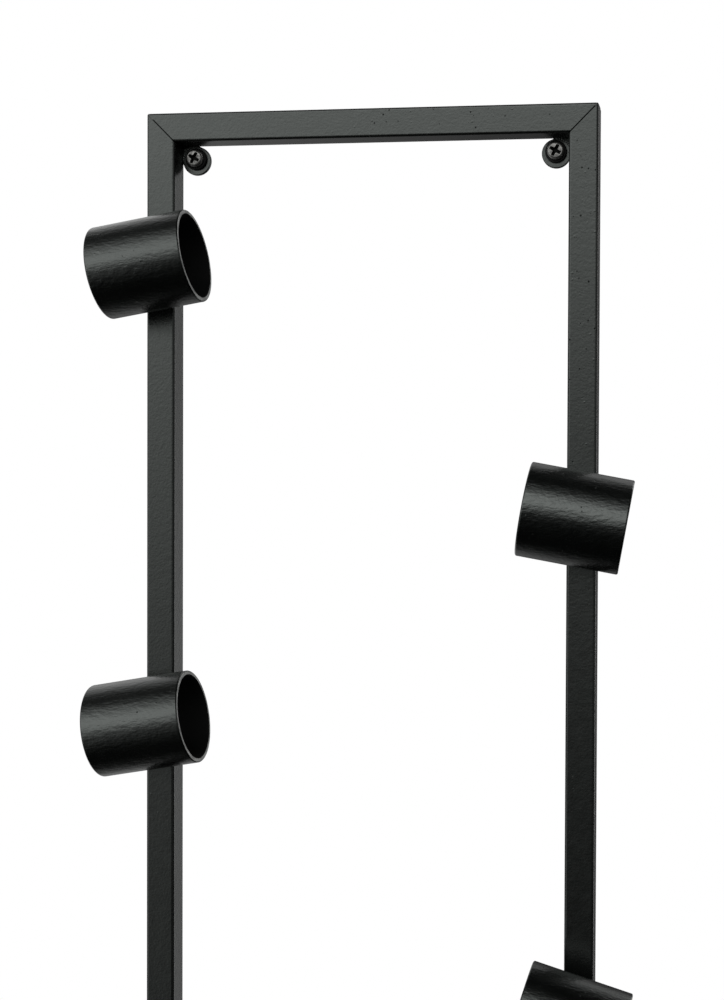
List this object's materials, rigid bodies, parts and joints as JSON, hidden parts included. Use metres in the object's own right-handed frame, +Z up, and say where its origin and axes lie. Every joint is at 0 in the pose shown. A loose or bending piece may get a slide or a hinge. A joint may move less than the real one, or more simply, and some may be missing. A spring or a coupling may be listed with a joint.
{
  "type": "wall rack",
  "caption": "Narrow upright steel wall frame with short open tubes welded across its side bars, alternating left and right and tilted inward, screwed to a wall through corner tabs.",
  "frame": {"origin": "middle of the top rail's back face, which lies on the wall", "axes": "+X to the right, +Z up along the uprights, +Y into the wall, so the front faces -Y"},
  "size_m": [0.3707, 0.1054, 1.05],
  "materials": {
    "black_paint": "satin black with a light orange peel",
    "weld_paint": "satin black over a rippled weld bead",
    "screw_steel": "dull plated steel",
    "black_rubber": "matt black"
  },
  "bodies": {
    "root": {"bottom_rail": "black_paint", "corner_weld_bottom_left": "weld_paint", "corner_weld_bottom_right": "weld_paint", "corner_weld_top_left": "weld_paint", "corner_weld_top_right": "weld_paint", "left_holder_1": "black_paint", "left_holder_1_lower_weld": "weld_paint", "left_holder_1_upper_weld": "weld_paint", "left_holder_2": "black_paint", "left_holder_2_lower_weld": "weld_paint", "left_holder_2_upper_weld": "weld_paint", "left_holder_3": "black_paint", "left_holder_3_lower_weld": "weld_paint", "left_holder_3_upper_weld": "weld_paint", "left_upright": "black_paint", "mount_tab_bottom_left": "black_paint", "mount_tab_bottom_right": "black_paint", "mount_tab_top_left": "black_paint", "mount_tab_top_right": "black_paint", "right_holder_1": "black_paint", "right_holder_1_lower_weld": "weld_paint", "right_holder_1_upper_weld": "weld_paint", "right_holder_2": "black_paint", "right_holder_2_lower_weld": "weld_paint", "right_holder_2_upper_weld": "weld_paint", "right_holder_3": "black_paint", "right_holder_3_lower_weld": "weld_paint", "right_holder_3_upper_weld": "weld_paint", "right_upright": "black_paint", "tab_weld_bottom_left": "weld_paint", "tab_weld_bottom_right": "weld_paint", "tab_weld_top_left": "weld_paint", "tab_weld_top_right": "weld_paint", "top_rail": "black_paint", "wall_screw_bottom_left": "screw_steel", "wall_screw_bottom_right": "screw_steel", "wall_screw_top_left": "screw_steel", "wall_screw_top_right": "screw_steel", "washer_bottom_left": "black_rubber", "washer_bottom_right": "black_rubber", "washer_top_left": "black_rubber", "washer_top_right": "black_rubber"}
  },
  "joints": []
}
